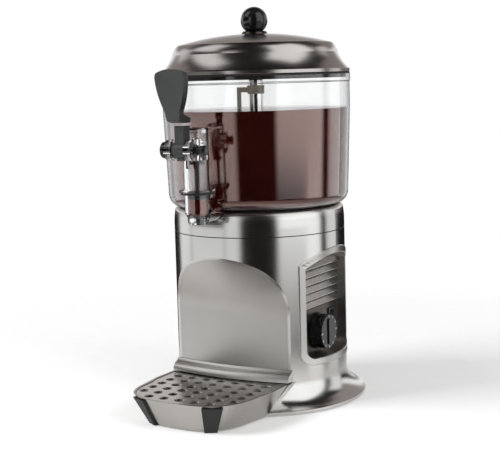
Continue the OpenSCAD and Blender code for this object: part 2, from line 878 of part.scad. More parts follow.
module tap_barrel() {
    reach = 4;
    color(clear) placed() difference() {
        union() {
            translate([0, -tap_y, barrel_z]) cylinder(r = barrel_r, h = barrel_top_z - barrel_z);
            translate([0, -tap_y, barrel_z + 0.4]) cylinder(r = tap_flange_r, h = tap_flange_h);
            for (s = [-1, 1]) {
                x0 = s > 0 ? ear_in : -ear_out;
                at_pin() rod_x(ear_r, x0, x0 + ear_out - ear_in);
                translate([x0, -pin_y, pin_z - ear_r])
                    cube([ear_out - ear_in, pin_out - reach, 2 * ear_r]);
            }
        }
        translate([0, -tap_y, barrel_z - 1]) cylinder(r = tap_bore_r, h = 200);
        translate([-arm_w / 2 - 1, -tap_y - barrel_r - 2, head_z0 - 4])
            cube([arm_w + 2, barrel_r + 2, slot_z1 - head_z0 + 4]);
        at_pin() rod_x(pin_r + fit, -40, 40);
    }
}

module barrel_seal() {
    color(rubber) placed() translate([0, -tap_y, barrel_z]) difference() {
        translate([0, 0, -2]) cylinder(r = tap_flange_r - 1.4, h = 2.4);
        translate([0, 0, -3]) cylinder(r = barrel_r + fit, h = 5);
    }
}

module barrel_cap() {
    color(clear) placed() translate([0, -tap_y, barrel_top_z]) union() {
        translate([0, 0, -cap_t]) cylinder(r = tap_bore_r - fit, h = cap_t);
        cylinder(r1 = barrel_r, r2 = barrel_r - 1, h = 1.6);
    }
}

module hinge_pin() {
    head = 3;
    color(dark) placed() at_pin() union() {
        rod_x(pin_r, -ear_out - 1, ear_out + 4);
        rod_x(6, -ear_out - 3, -ear_out - 0.2);
        rod_x(9, -ear_out - 3 - head, -ear_out - 2.6);
        translate([-ear_out - 3 - head, 0, 0]) rotate([0, -90, 0]) cylinder(r1 = 9, r2 = 7.6, h = 1);
    }
}

module pin_nut() {
    color(dark) placed() at_pin() difference() {
        union() {
            translate([ear_out + 0.1, 0, 0]) rotate([0, 90, 0]) rotate_extrude() polygon([
                [0, 0], [6.2, 0], [6.2, 1.5], [4.2, 1.8], [4, 5], [5.2, 7.2], [5.2, 11.4],
                [3.6, 13.8], [0, 13.8]
            ]);
        }
        rod_x(pin_r + fit, 0, ear_out + 4.2);
    }
}

module piston() {
    ring_z0 = disc_z + 1.6;
    color(dark) placed() translate([0, -tap_y, 0]) difference() {
        union() {
            translate([0, 0, spout_z + 1.5]) cylinder(r = rod_r, h = head_z0 - spout_z);
            translate([0, 0, valve_z + 2]) cylinder(r = tap_bore_r - 1.6, h = 3.4);
            translate([0, 0, valve_z + 5.4]) cylinder(r1 = tap_bore_r - 1.6, r2 = rod_r, h = 3.4);
            translate([0, 0, disc_z]) cylinder(r = tap_bore_r - gap, h = 5.2);
            translate([0, 0, head_z0]) cylinder(r = head_r, h = head_z1 - head_z0);
        }
        translate([0, 0, ring_z0]) difference() {
            cylinder(r = tap_bore_r + 1, h = 2);
            translate([0, 0, -1]) cylinder(r = tap_bore_r - 2.4, h = 4);
        }
        translate([-10, -20, tip_z - tip_r - gap])
            cube([20, 20 + tip_r + arm_len - pin_out + gap, 2 * (tip_r + gap)]);
        translate([-arm_w / 2 - 1, -20, tip_z]) cube([arm_w + 2, 20 - tip_r - 1, arm_rise]);
    }
}

module piston_seals() {
    color(rubber) placed() translate([0, -tap_y, 0]) {
        difference() {
            translate([0, 0, valve_z]) cylinder(r = tap_bore_r - 1.2, h = 2);
            translate([0, 0, valve_z - 1]) cylinder(r = rod_r + fit, h = 4);
        }
        translate([0, 0, disc_z + 1.6]) difference() {
            cylinder(r = tap_bore_r - fit, h = 2);
            translate([0, 0, -1]) cylinder(r = tap_bore_r - 2.4 + fit, h = 4);
        }
    }
}

// One unbroken round wire wound as a helix, its ends laid closer than its middle turns.
spring_rings = 12;
function spring_rise(t) = let (u = t / spring_turns) u - 0.035 * sin(360 * u);
function spring_point(t) = [
    spring_r * cos(360 * t), spring_r * sin(360 * t),
    spring_z0 + spring_wire / 2
        + (spring_z1 - spring_z0 - spring_wire) * spring_rise(t)
];

module piston_spring() {
    sides = 6;
    count = spring_turns * spring_rings + 1;
    points = [for (i = [0 : count - 1], j = [0 : sides - 1])
        let (t = i / spring_rings, c = spring_point(t), a = 360 * j / sides,
             out = [cos(360 * t), sin(360 * t), 0])
        c + spring_wire / 2 * (cos(a) * out + sin(a) * [0, 0, 1])];
    side_faces = [for (i = [0 : count - 2], j = [0 : sides - 1], h = [0, 1])
        let (a = i * sides + j, b = i * sides + (j + 1) % sides, c = a + sides, d = b + sides)
        h == 0 ? [a, b, c] : [b, d, c]];
    start = [for (j = [1 : sides - 2]) [0, j + 1, j]];
    last = (count - 1) * sides;
    finish = [for (j = [1 : sides - 2]) [last, last + j, last + j + 1]];
    color([0.8, 0.8, 0.82]) placed() translate([0, -tap_y, 0])
        polyhedron(points, concat(side_faces, start, finish), convexity = 8);
}

// Front view of the lever's paddle.
module paddle_front() {
    w = paddle_half;
    top = lever_top_z;
    mid = top - 10;
    waist = [9.6, paddle_z + 13];
    shoulder = [w, mid];
    corner = [w - 1.6, top - 4];
    polygon(concat(
        [[-7.6, paddle_z], [7.6, paddle_z]],
        arc(waist, shoulder, 1.6, 8),
        arc(shoulder, corner, 0.6, 3),
        arc(corner, [-corner[0], corner[1]], 4, 14),
        arc([-corner[0], corner[1]], [-w, mid], 0.6, 3),
        arc([-w, mid], [-waist[0], waist[1]], 1.6, 8),
        [[-waist[0], waist[1]]]
    ));
}

// Side view of the lever above its band, measured from the pin's axis forward.
module paddle_side() {
    top = lever_top_z + 2;
    face_top = [-20.6, top];
    face_low = [-15.4, paddle_z + 2.5];
    polygon(concat(
        [[6, paddle_z], [6, paddle_z + 4.5], [-8, paddle_z + 9.5], [-12.8, top]],
        arc(face_top, face_low, 1.2, 10),
        [face_low, [-8, paddle_z]]
    ));
}

module tap_lever() {
    color(dark) placed() difference() {
        at_pin() union() {
            rod_x(hub_r, -hub_half, hub_half);
            rotate([-arm_drop, 0, 0]) translate([-arm_w / 2, 0, -arm_t / 2])
                cube([arm_w, arm_len, arm_t]);
            rotate([-arm_drop, 0, 0]) translate([0, arm_len, 0]) rod_x(tip_r, -arm_w / 2, arm_w / 2);
            translate([0, -2, -hub_r]) rod_x(2.6, -arm_w / 2, arm_w / 2);
            along_x(-neck_half, neck_half) difference() {
                polygon([
                    [-5, 3], [-5, paddle_z - pin_z], [6, paddle_z - pin_z], [7.6, 14], [hub_r, 3]
                ]);
                for (i = [0 : 3]) translate([8.6 - i * 0.35, 8 + 4.4 * i]) circle(r = 1.3);
            }
            translate([0, 0, -pin_z]) intersection() {
                along_y(-40, 20) paddle_front();
                along_x(-40, 40) paddle_side();
            }
        }
        at_pin() rod_x(pin_r + fit, -40, 40);
    }
}

module lever_band() {
    half = 7.7;
    color([0.75, 0.74, 0.7]) placed() at_pin() translate([0, 0, band_z - pin_z]) difference() {
        translate([-half, -7.4, 0]) cube([2 * half, 15.6, band_h - fit]);
        translate([-neck_half - fit, -5 - fit, -1]) cube([2 * (neck_half + fit), 11.9, band_h + 2]);
    }
}

// ---------------------------------------------------------------- lid

// The lid's silhouette, solid down to the axis, lowered and taken in by k.
module lid_profile(k) {
    z0 = seal_z;
    bead = [lid_r - k, z0 + bead_h - 0.8];
    neck = [lid_r - 1.8 - k, z0 + bead_h + 0.6 - k];
    waist = [shoulder_r + 5.7 - k, z0 + 24 - k];
    crest = [shoulder_r - k, shoulder_z - k];
    seat = [seat_r, seat_z - k];
    union() {
        difference() {
            polygon([
                [0, z0 - k], [lid_r - k - 0.8, z0 - k], [lid_r - k, z0 + 1], bead, neck,
                waist, crest, seat, [0, seat_z - k]
            ]);
            scoop(neck, waist, 1.1);
        }
        bulge(waist, crest, 1.1);
        bulge(crest, seat, pow(norm(crest - seat), 2) / (8 * dome_rho));
    }
}

module lid_shell() {
    color(steel) placed() difference() {
        rotate_extrude($fn = 180) difference() {
            lid_profile(0);
            lid_profile(lid_wall);
        }
        translate([0, 0, seat_z - 10]) cylinder(r = screw_r + 0.2, h = 20);
    }
}

module lid_seal() {
    lip_r = bowl_r - bowl_wall - 0.6;
    color(rubber) placed() rotate_extrude($fn = 180) polygon([
        [lip_r - 2, rim_z - 4], [lip_r, rim_z - 4], [lip_r, rim_z], [bowl_r + 0.4, rim_z],
        [bowl_r + 0.4, seal_z], [lip_r - 2, seal_z]
    ]);
}

module knob_collar() {
    color(steel) placed() difference() {
        rotate_extrude() union() {
            polygon([
                [0, seat_z], [collar_r, seat_z], [collar_r - 0.6, seat_z + 1.4],
                [collar_r - 3.4, seat_z + collar_h], [0, seat_z + collar_h]
            ]);
            bulge([collar_r - 0.6, seat_z + 1.4], [collar_r - 3.4, seat_z + collar_h], 0.5);
        }
        translate([0, 0, seat_z - 1]) cylinder(r = screw_r + fit, h = 10);
    }
}

module lid_knob() {
    color(dark) placed() difference() {
        translate([0, 0, knob_z]) sphere(r = knob_r);
        translate([0, 0, seat_z + collar_h - 50]) cylinder(r = 40, h = 50);
        translate([0, 0, seat_z]) cylinder(r = screw_r + fit, h = 18);
    }
}

module knob_screw() {
    color(steel) placed() union() {
        translate([0, 0, seat_z - lid_wall - 3]) cylinder(r = 5.4, h = 3);
        translate([0, 0, seat_z - lid_wall - 1]) cylinder(r = screw_r, h = lid_wall + 1 + 17.6);
    }
}

// ---------------------------------------------------------------- drip tray

// Top or lower outline of the tray: straight flanks, then a squarish oval front.
function tray_points(d, cy, back) =
    let (w = tray_half - d, a = tray_half - 4 - d, b = tray_front - cy - d, n = 14, e = 2 / tray_square)
    concat(
        [[w, back], [w, -cy + 19 - d]],
        [for (i = [0 : n]) let (t = 90 * i / n) [a * pow(cos(t), e), -cy - b * pow(sin(t), e)]],
        [for (i = [1 : n]) let (t = 90 - 90 * i / n)
            [-a * pow(cos(t), e), -cy - b * pow(sin(t), e)]],
        [[-w, -cy + 19 - d], [-w, back]]
    );

// The dock's sloping face in Y, by height, and the tray's back a gap in front of it.
dock_slope = (dock_top_y - dock_low_y) / (dock_top_z + 1 - foot_drop);
function dock_face_y(z) = dock_low_y + (z - foot_drop) * dock_slope;
back_gap = gap / cos(atan(dock_slope));
tray_back = dock_face_y(tray_z) - back_gap;
tray_low_back = dock_face_y(tray_low_z) - back_gap;

module tray_slice(d, cy, back, z) {
    translate([0, 0, z]) linear_extrude(0.02) polygon(tray_points(d, cy, back));
}

// The leaning body of the tray; k takes its walls in and lifts its floor.
module tray_form(k) {
    hull() {
        tray_slice(k, tray_cy, tray_back - k, tray_z - 0.02 - (k > 0 ? 2.4 : 0));
        tray_slice(tray_lean + k, tray_low_cy, tray_low_back - k, tray_low_z + (k > 0 ? tray_wall : 0));
    }
}

module drip_tray() {
    color(steel) placed() difference() {
        tray_form(0);
        tray_form(basin_in - 1);
        translate([0, 0, grille_z]) difference() {
            linear_extrude(10) polygon(tray_points(rim_w, tray_cy, tray_back - 1));
            translate([0, niche_cy, -1]) cylinder(r = apron_r + 0.4, h = 12, $fn = 300);
        }
    }
}

// Black strips over the front corners, which the tray stands on.
module tray_strips() {
    color(rubber) placed() difference() {
        for (s = [-1, 1]) hull() {
            translate([s * 47, -190.9, tray_z - 3.4]) rotate(s * 28)
                translate([-11.5, -2.6, 0]) cube([23, 6, 1]);
            translate([s * 37.6, -tray_front + tray_lean + 7.2, 0]) rotate(s * 30)
                translate([-7, -1.8, 0]) cube([14, 9, 1]);
        }
        tray_form(0);
    }
}

module drip_grille() {
    rows = [for (i = [0 : 5]) -tray_front + 17 + i * hole_pitch_y];
    edge = 9;
    color(steel) placed() difference() {
        translate([0, 0, grille_z]) linear_extrude(grille_t)
            polygon(tray_points(rim_w + gap, tray_cy, tray_back - 1 - gap));
        translate([0, niche_cy, 0]) cylinder(r = apron_r + 1.5, h = 60, $fn = 300);
        for (y = rows, i = [-3 : 3]) {
            x = i * hole_pitch_x;
            room = pow(abs(x) / (tray_half - 4 - edge), tray_square)
                + pow(max(-y - tray_cy, 0) / (tray_front - tray_cy - edge), tray_square);
            if (room < 1.02) translate([x, y, grille_z]) {
                translate([0, 0, -1]) cylinder(d = hole_d, h = 5, $fn = 40);
                translate([0, 0, grille_t - 1.1]) cylinder(d1 = hole_d, d2 = hole_d + 3, h = 1.12, $fn = 40);
            }
        }
    }
}

// ---------------------------------------------------------------- back

// Cable inlet at the back, low on the body.
module cable_gland() {
    color(dark) placed() translate([0, 0, gland_z]) rotate([-90, 0, 0]) difference() {
        union() {
            translate([0, 0, body_r + 0.3]) cylinder(r1 = gland_r + 3, r2 = gland_r + 1.6, h = 4);
            translate([0, 0, body_r + 4]) cylinder(r1 = gland_r, r2 = gland_r - 3, h = 9);
            translate([0, 0, body_in_r - 8]) cylinder(r = gland_r, h = body_wall + 9);
        }
        translate([0, 0, body_r - 20]) cylinder(r = 3.6, h = 60);
    }
}

base_shell();
top_ring();
seam_gasket();
bottom_cover();
rubber_feet();
cover_screws();
niche_apron();
panel_frame();
louvres();
vent_backing();
thermostat_body();
thermostat_spindle();
thermostat_dial();
switch_housing();
switch_rocker();
motor_bracket();
gear_motor();
heating_plate();
column_tube();
shaft_bushes();
column_seal();
bowl_gasket();
bowl();
drive_shaft();
stirrer_sleeve();
stirrer_blades();
tap_barrel();
barrel_seal();
barrel_cap();
hinge_pin();
pin_nut();
piston();
piston_seals();
piston_spring();
tap_lever();
lever_band();
lid_shell();
lid_seal();
knob_collar();
lid_knob();
knob_screw();
drip_tray();
tray_strips();
drip_grille();
cable_gland();
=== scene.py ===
"""Looks of the counter-top hot chocolate dispenser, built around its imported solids. Metres, +Z up."""

import json
import math

import bpy
from mathutils import Matrix, Vector


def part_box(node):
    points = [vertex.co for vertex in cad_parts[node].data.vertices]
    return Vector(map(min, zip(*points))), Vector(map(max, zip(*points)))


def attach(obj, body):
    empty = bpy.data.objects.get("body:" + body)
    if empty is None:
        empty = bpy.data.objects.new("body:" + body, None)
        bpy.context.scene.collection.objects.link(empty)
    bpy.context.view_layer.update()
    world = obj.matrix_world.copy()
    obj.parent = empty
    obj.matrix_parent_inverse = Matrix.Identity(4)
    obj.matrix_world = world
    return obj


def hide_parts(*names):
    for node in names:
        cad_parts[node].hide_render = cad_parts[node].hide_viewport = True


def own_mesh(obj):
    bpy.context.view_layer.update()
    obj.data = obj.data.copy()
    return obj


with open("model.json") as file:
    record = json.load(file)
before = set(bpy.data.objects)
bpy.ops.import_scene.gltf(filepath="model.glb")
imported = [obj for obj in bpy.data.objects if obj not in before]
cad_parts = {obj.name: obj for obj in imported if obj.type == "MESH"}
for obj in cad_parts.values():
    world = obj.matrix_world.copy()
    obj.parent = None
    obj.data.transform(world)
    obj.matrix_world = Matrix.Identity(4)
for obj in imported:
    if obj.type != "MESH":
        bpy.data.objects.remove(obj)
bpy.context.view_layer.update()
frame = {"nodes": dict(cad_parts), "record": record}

MM = 0.001
AXIS_Y = 38.75 * MM  # where the body's upright axis stands
TAP_Y = AXIS_Y - 133.5 * MM  # where the tap's upright axis stands

# ------------------------------------------------------------------ shader helpers

# Nearly all values of a noise lie between these two.
MIDDLE = (0.3, 0.7)
# The same for half the sum of a noise and a mask: two places where the mask is 0, two where it is 1.
MASKED_MIDDLE = (0.15, 0.35, 0.65, 0.85)
# How fast a metal's tone drifts along X, Y and Z, per metre.
SLOW_TONES = (14, 14, 9)
# How fast turned rings change from front to back, per metre.
RING_DRIFT = 6.0


class Shader:
    """A node tree with a few short ways to add to it."""

    def __init__(self, name):
        self.mat = bpy.data.materials.new(name)
        self.mat.use_nodes = True
        self.start(self.mat.node_tree)
        self.main = self.nodes["Principled BSDF"]
        self.coords = self.nodes.new("ShaderNodeTexCoord").outputs["Object"]

    def start(self, tree):
        self.nodes = tree.nodes
        self.links = tree.links

    def link(self, source, target):
        self.links.new(source, target)

    def fill(self, target, value):
        """Link an output to a socket, or set the socket to a constant."""
        if isinstance(value, bpy.types.NodeSocket):
            self.link(value, target)
        else:
            target.default_value = value

    def put(self, socket, value):
        """Fill one of the main shader's sockets."""
        self.fill(self.main.inputs[socket], value)

    def math(self, operation, a, b=0.0, c=0.0):
        node = self.nodes.new("ShaderNodeMath")
        node.operation = operation
        for i, value in enumerate((a, b, c)):
            self.fill(node.inputs[i], value)
        return node.outputs[0]

    def split(self, vector):
        """The X, Y and Z outputs of a vector."""
        node = self.nodes.new("ShaderNodeSeparateXYZ")
        self.link(vector, node.inputs[0])
        return node.outputs

    def join(self, *parts):
        """A vector of up to three outputs."""
        node = self.nodes.new("ShaderNodeCombineXYZ")
        for i, part in enumerate(parts):
            self.link(part, node.inputs[i])
        return node.outputs[0]

    def vector_math(self, operation, vector):
        node = self.nodes.new("ShaderNodeVectorMath")
        node.operation = operation
        self.link(vector, node.inputs[0])
        return node

    def scaled(self, factors):
        """Coordinates multiplied by three factors."""
        node = self.nodes.new("ShaderNodeMapping")
        node.inputs["Scale"].default_value = factors
        self.link(self.coords, node.inputs["Vector"])
        return node.outputs[0]

    def noise(self, vector, detail=3.0, rough=0.55):
        node = self.nodes.new("ShaderNodeTexNoise")
        node.inputs["Scale"].default_value = 1.0
        node.inputs["Detail"].default_value = detail
        node.inputs["Roughness"].default_value = rough
        self.link(vector, node.inputs["Vector"])
        return node.outputs["Fac"]

    def spread(self, value, low, high, start=MIDDLE[0], end=MIDDLE[1]):
        """A value between start and end mapped to low..high."""
        node = self.nodes.new("ShaderNodeMapRange")
        self.link(value, node.inputs["Value"])
        node.inputs["From Min"].default_value = start
        node.inputs["From Max"].default_value = end
        node.inputs["To Min"].default_value = low
        node.inputs["To Max"].default_value = high
        return node.outputs[0]

    def blend(self, value, colours, places=MIDDLE):
        """A colour ramp over value, with each colour at its place."""
        node = self.nodes.new("ShaderNodeValToRGB")
        ramp = node.color_ramp
        ramp.elements[0].position = places[0]
        ramp.elements[1].position = places[-1]
        for place in places[1:-1]:
            ramp.elements.new(place)
        for element, colour in zip(ramp.elements, colours):
            element.color = (*colour, 1)
        self.link(value, node.inputs["Fac"])
        return node.outputs["Color"]

    def masked_blend(self, value, mask, colours):
        """A ramp of the first two colours where the mask is 0, and of the last two where it is 1."""
        tone = self.math("MULTIPLY", self.math("ADD", value, mask), 0.5)
        return self.blend(tone, colours, MASKED_MIDDLE)

    def bump(self, height, strength, depth):
        node = self.nodes.new("ShaderNodeBump")
        node.inputs["Strength"].default_value = strength
        node.inputs["Distance"].default_value = depth
        self.link(height, node.inputs["Height"])
        self.link(node.outputs["Normal"], self.main.inputs["Normal"])

    def mix(self, fac, a, b):
        """Shader a where fac is 0 and shader b where it is 1."""
        node = self.nodes.new("ShaderNodeMixShader")
        for i, value in enumerate((fac, a, b)):
            self.link(value, node.inputs[i])
        return node.outputs[0]

    def from_axis(self):
        """The height, the distance behind the body's axis and the radius from it."""
        along = self.split(self.coords)
        behind = self.math("SUBTRACT", along["Y"], AXIS_Y)
        square = self.math(
            "ADD",
            self.math("POWER", along["X"], 2.0),
            self.math("POWER", behind, 2.0),
        )
        return along["Z"], behind, self.math("SQRT", square)

    def turned(self, fine):
        """Coordinates that run in rings about the body's axis, for spun and turned metal."""
        height, behind, radius = self.from_axis()
        return self.join(
            self.math("MULTIPLY", radius, fine),
            self.math("MULTIPLY", height, fine),
            self.math("MULTIPLY", behind, RING_DRIFT),
        )

    def metal_tones(self, vector, share):
        """Fine lines along a vector, and their mixture with slow changes of tone."""
        fine = self.noise(vector, detail=4.0)
        slow = self.noise(self.scaled(SLOW_TONES), detail=2.0)
        mixed = self.math(
            "ADD",
            self.math("MULTIPLY", fine, share),
            self.math("MULTIPLY", slow, 1 - share),
        )
        return fine, mixed


# ------------------------------------------------------------------ materials

# The share of the fine lines in a brushed metal's tone.
LINE_SHARE = 0.12
# Strength and depth of a surface's relief.
METAL_RELIEF = (0.12, 0.06 * MM)
LIQUID_RELIEF = (0.02, 0.3 * MM)
PEBBLE_DEPTH = 0.08 * MM
PEBBLES_PER_METRE = (900, 900, 900)
# How fast the fine lines change along X, Y and Z, per metre.
BODY_LINES = (20, 20, 1500)
LEVEL_LINES = (20, 20, 1200)
UPRIGHT_LINES = (20, 1200, 20)
LENGTH_LINES = (1200, 20, 20)
# The same for the slow tones of plastics, the flow marks in clear walls and the streaks of the drink.
PLASTIC_TONES = (30, 30, 30)
LEVER_TONES = (40, 40, 40)
FLOW_MARKS = (22, 22, 60)
STREAKS = (14, 14, 40)
# The radii between which the column's round gives way to what is pressed into it.
PRESSED_EDGE = (98.5 * MM, 101 * MM)
PRESSED_DULLER = 0.18
# The Y of a face's direction where the lever's front is fully painted greyer, as painted light, and
# where it no longer is.
PAINTED_LIT_FACING = (-0.8, -0.3)
# How much rougher the lever's painted-light front is.
PAINTED_LIT_DULLER = 0.08


def metal(name, dark, light, rough, grain=None, rings=None, share=LINE_SHARE):
    """Metal brushed along a grain, or turned in so many rings a metre, over slow changes of tone."""
    s = Shader(name)
    fine, mixed = s.metal_tones(s.turned(rings) if rings else s.scaled(grain), share)
    s.put("Base Color", s.blend(mixed, (dark, light)))
    s.put("Metallic", 1.0)
    s.put("Roughness", s.spread(mixed, *rough))
    s.bump(fine, *METAL_RELIEF)
    return s.mat


def body_steel():
    """Brushed steel, duller where it is pressed in behind the round of the column."""
    s = Shader("body_steel")
    fine, mixed = s.metal_tones(s.scaled(BODY_LINES), LINE_SHARE)
    pressed = s.spread(s.from_axis()[2], 1.0, 0.0, *PRESSED_EDGE)
    outside = [(0.50, 0.49, 0.47), (0.60, 0.59, 0.57)]
    inside = [(0.46, 0.44, 0.415), (0.54, 0.52, 0.495)]
    s.put("Base Color", s.masked_blend(mixed, pressed, outside + inside))
    s.put("Metallic", 1.0)
    rough = s.spread(mixed, 0.15, 0.21)
    s.put("Roughness", s.math("MULTIPLY_ADD", pressed, PRESSED_DULLER, rough))
    s.bump(fine, *METAL_RELIEF)
    return s.mat


def plastic(name, dark, light, rough, relief=0.1):
    """Moulded plastic or rubber: a fine pebbled skin and a slow change of tone."""
    s = Shader(name)
    fine = s.noise(s.scaled(PEBBLES_PER_METRE), detail=2.0)
    slow = s.noise(s.scaled(PLASTIC_TONES))
    s.put("Base Color", s.blend(slow, (dark, light)))
    s.put("Roughness", s.spread(slow, *rough))
    s.bump(fine, relief, PEBBLE_DEPTH)
    return s.mat


def lever_plastic():
    """Black moulded plastic with painted light and shade: greyer on the faces turned to the front,
    black on the sides.
    """
    s = Shader("lever_plastic")
    fine = s.noise(s.scaled(PEBBLES_PER_METRE), detail=2.0)
    slow = s.noise(s.scaled(LEVER_TONES))
    facing = s.split(s.nodes.new("ShaderNodeTexCoord").outputs["Normal"])["Y"]
    # Painted light: faces turned to the front are painted grey as if lit; the rest stays black as if
    # shaded.
    painted_lit_front = s.spread(facing, 1.0, 0.0, *PAINTED_LIT_FACING)
    black = [(0.006, 0.007, 0.007), (0.012, 0.013, 0.013)]
    grey = [(0.040, 0.045, 0.042), (0.058, 0.064, 0.060)]
    s.put("Base Color", s.masked_blend(slow, painted_lit_front, black + grey))
    rough = s.spread(slow, 0.3, 0.4)
    s.put("Roughness", s.math("MULTIPLY_ADD", painted_lit_front, PAINTED_LIT_DULLER, rough))
    s.bump(fine, 0.15, PEBBLE_DEPTH)
    return s.mat


def clear_plastic():
    """Clear moulded plastic with faint flow marks."""
    s = Shader("clear_plastic")
    flow = s.noise(s.scaled(FLOW_MARKS))
    s.put("Base Color", s.blend(flow, ((0.965, 0.97, 0.97), (0.985, 0.99, 0.99))))
    s.put("Roughness", s.spread(flow, 0.0, 0.03))
    s.put("IOR", 1.49)
    s.put("Transmission Weight", 1.0)
    s.bump(flow, *LIQUID_RELIEF)
    return s.mat


def hot_chocolate():
    """A very dark red-brown drink with slow streaks."""
    s = Shader("hot_chocolate")
    swirl = s.noise(s.scaled(STREAKS), detail=5.0, rough=0.6)
    s.put("Base Color", s.blend(swirl, ((0.016, 0.0012, 0.0010), (0.026, 0.0024, 0.0020))))
    s.put("Roughness", s.spread(swirl, 0.06, 0.12))
    s.put("IOR", 2.1)
    s.put("Specular Tint", (1.0, 0.50, 0.40, 1.0))
    s.bump(swirl, *LIQUID_RELIEF)
    return s.mat


# Each has its darkest and lightest colour, its lowest and highest roughness, and its grain if any.
BRIGHT = metal(
    "bright_steel", (0.70, 0.69, 0.67), (0.80, 0.79, 0.77), (0.12, 0.2), (300, 300, 300)
)
DRINK = hot_chocolate()
MARK = plastic("dial_marks", (0.72, 0.72, 0.70), (0.84, 0.84, 0.82), (0.4, 0.55))
FINISH = {
    "satin_steel": body_steel(),
    "lid_steel": metal(
        "lid_steel", (0.37, 0.345, 0.33), (0.46, 0.435, 0.42), (0.2, 0.26), rings=900.0, share=0.15
    ),
    "bright_steel": BRIGHT,
    "clear_plastic": clear_plastic(),
    "black_gloss": plastic(
        "black_gloss", (0.006, 0.006, 0.007), (0.012, 0.012, 0.013), (0.06, 0.12), relief=0.02
    ),
    "black_satin": plastic(
        "black_satin", (0.016, 0.018, 0.018), (0.028, 0.03, 0.03), (0.32, 0.45), relief=0.15
    ),
    "black_rubber": plastic(
        "black_rubber", (0.010, 0.010, 0.010), (0.022, 0.022, 0.021), (0.6, 0.8), relief=0.25
    ),
    "cream_plastic": plastic("cream_plastic", (0.66, 0.60, 0.48), (0.76, 0.70, 0.58), (0.3, 0.45)),
    "heater_aluminium": metal(
        "turned_aluminium", (0.66, 0.66, 0.68), (0.78, 0.78, 0.8), (0.25, 0.4), rings=700.0, share=0.5
    ),
    "motor_metal": metal(
        "motor_metal", (0.34, 0.35, 0.37), (0.44, 0.45, 0.47), (0.35, 0.5), (90, 90, 90)
    ),
    "bush_bronze": metal(
        "bush_bronze", (0.45, 0.28, 0.12), (0.58, 0.38, 0.18), (0.3, 0.45), (200, 200, 200)
    ),
}
# Nodes whose finish differs from the rest of their material; the colours of the tray, the apron and the
# tap's lever also hold painted light and shade.
OWN_FINISH_AND_PAINTED_LIGHT = {
    # The tray's steel is painted darker than the body's: painted shade, for the shadowed floor that its
    # slightly downward-facing walls mirror.
    "drip_tray": metal(
        "tray_steel_painted_shade", (0.38, 0.36, 0.335), (0.46, 0.44, 0.415), (0.26, 0.36), LEVEL_LINES
    ),
    "drip_grille": metal(
        "grille_steel", (0.64, 0.62, 0.59), (0.74, 0.72, 0.69), (0.22, 0.32), (1200, 16, 16)
    ),
    "panel_frame": metal(
        "frame_steel", (0.50, 0.485, 0.465), (0.58, 0.565, 0.545), (0.28, 0.36), LEVEL_LINES
    ),
    "louvres": metal(
        "louvre_steel", (0.54, 0.52, 0.50), (0.64, 0.62, 0.60), (0.24, 0.32), UPRIGHT_LINES
    ),
    "vent_backing": metal(
        "panel_steel", (0.13, 0.115, 0.105), (0.19, 0.17, 0.155), (0.3, 0.4), UPRIGHT_LINES
    ),
    "knob_collar": metal(
        "collar_bronze", (0.05, 0.04, 0.032), (0.09, 0.07, 0.055), (0.2, 0.3), (400, 400, 400)
    ),
    # The apron's steel is painted lighter than the body's: painted light, for the light from above on
    # its sloping top.
    "niche_apron": metal(
        "apron_steel_painted_light", (0.58, 0.56, 0.53), (0.68, 0.66, 0.63), (0.34, 0.42), LENGTH_LINES
    ),
    "stirrer_sleeve": BRIGHT,
    "tap_lever": lever_plastic(),
}

for part in frame["record"]["subparts"]:
    node = frame["nodes"][part["node"]]
    node.data.materials.clear()
    node.data.materials.append(OWN_FINISH_AND_PAINTED_LIGHT.get(part["node"], FINISH[part["material_slot"]]))

# Clear walls let the lamps through to the drink.
for name in ("bowl", "tap_barrel", "barrel_cap"):
    frame["nodes"][name].visible_shadow = False

# ------------------------------------------------------------------ mesh helpers

# Edges sharper than this stay sharp.
CREASE = math.radians(40)


def piece(name, points, faces, material, body, smooth=True):
    """A mesh in the machine's frame that rides on a body."""
    mesh = bpy.data.meshes.new(name)
    mesh.from_pydata(points, [], faces)
    mesh.validate()
    mesh.materials.append(material)
    obj = bpy.data.objects.new(name, mesh)
    bpy.context.scene.collection.objects.link(obj)
    if smooth:
        mesh.shade_smooth()
        mesh.set_sharp_from_angle(angle=CREASE)
    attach(obj, body)
    return obj


def circle(count):
    """Cosine and sine at equal steps round a circle."""
    angles = [2 * math.pi * i / count for i in range(count)]
    return [(math.cos(angle), math.sin(angle)) for angle in angles]


def revolved(name, profile, centre_y, body, turns):
    """Drink with a closed (radius, height) outline in mm, turned about an upright axis."""
    points = []
    faces = []
    count = len(profile)
    for across, along in circle(turns):
        for radius, height in profile:
            reach = radius * MM
            points.append((reach * across, centre_y + reach * along, height * MM))
    for i in range(turns):
        for j in range(count):
            a = i * count + j
            b = i * count + (j + 1) % count
            c = ((i + 1) % turns) * count + (j + 1) % count
            d = ((i + 1) % turns) * count + j
            faces.append((a, d, c, b))
    return piece(name, points, faces, DRINK, body)


def tube_faces(rings, sides, inverted):
    """Faces that join rings of points one after another, with both ends closed."""
    faces = []
    for i in range(rings - 1):
        for k in range(sides):
            a = i * sides + k
            b = i * sides + (k + 1) % sides
            if inverted:
                faces.append((a, a + sides, b + sides, b))
            else:
                faces.append((a, b, b + sides, a + sides))
    first = tuple(range(sides))
    last = tuple(range((rings - 1) * sides, rings * sides))
    if inverted:
        faces += [first, last[::-1]]
    else:
        faces += [first[::-1], last]
    return faces


# ------------------------------------------------------------------ the drink, in mm

LEVEL = 340.7
GAP = 0.15  # between the drink and the bowl
BOWL_FLOOR = 231 + GAP
BOWL_WALL = 107.49 - GAP
CORNER_X = 92.2  # centre of the bowl's rounded lower edge
CORNER_R = 11.5 - GAP
CORNER_STEPS = 8
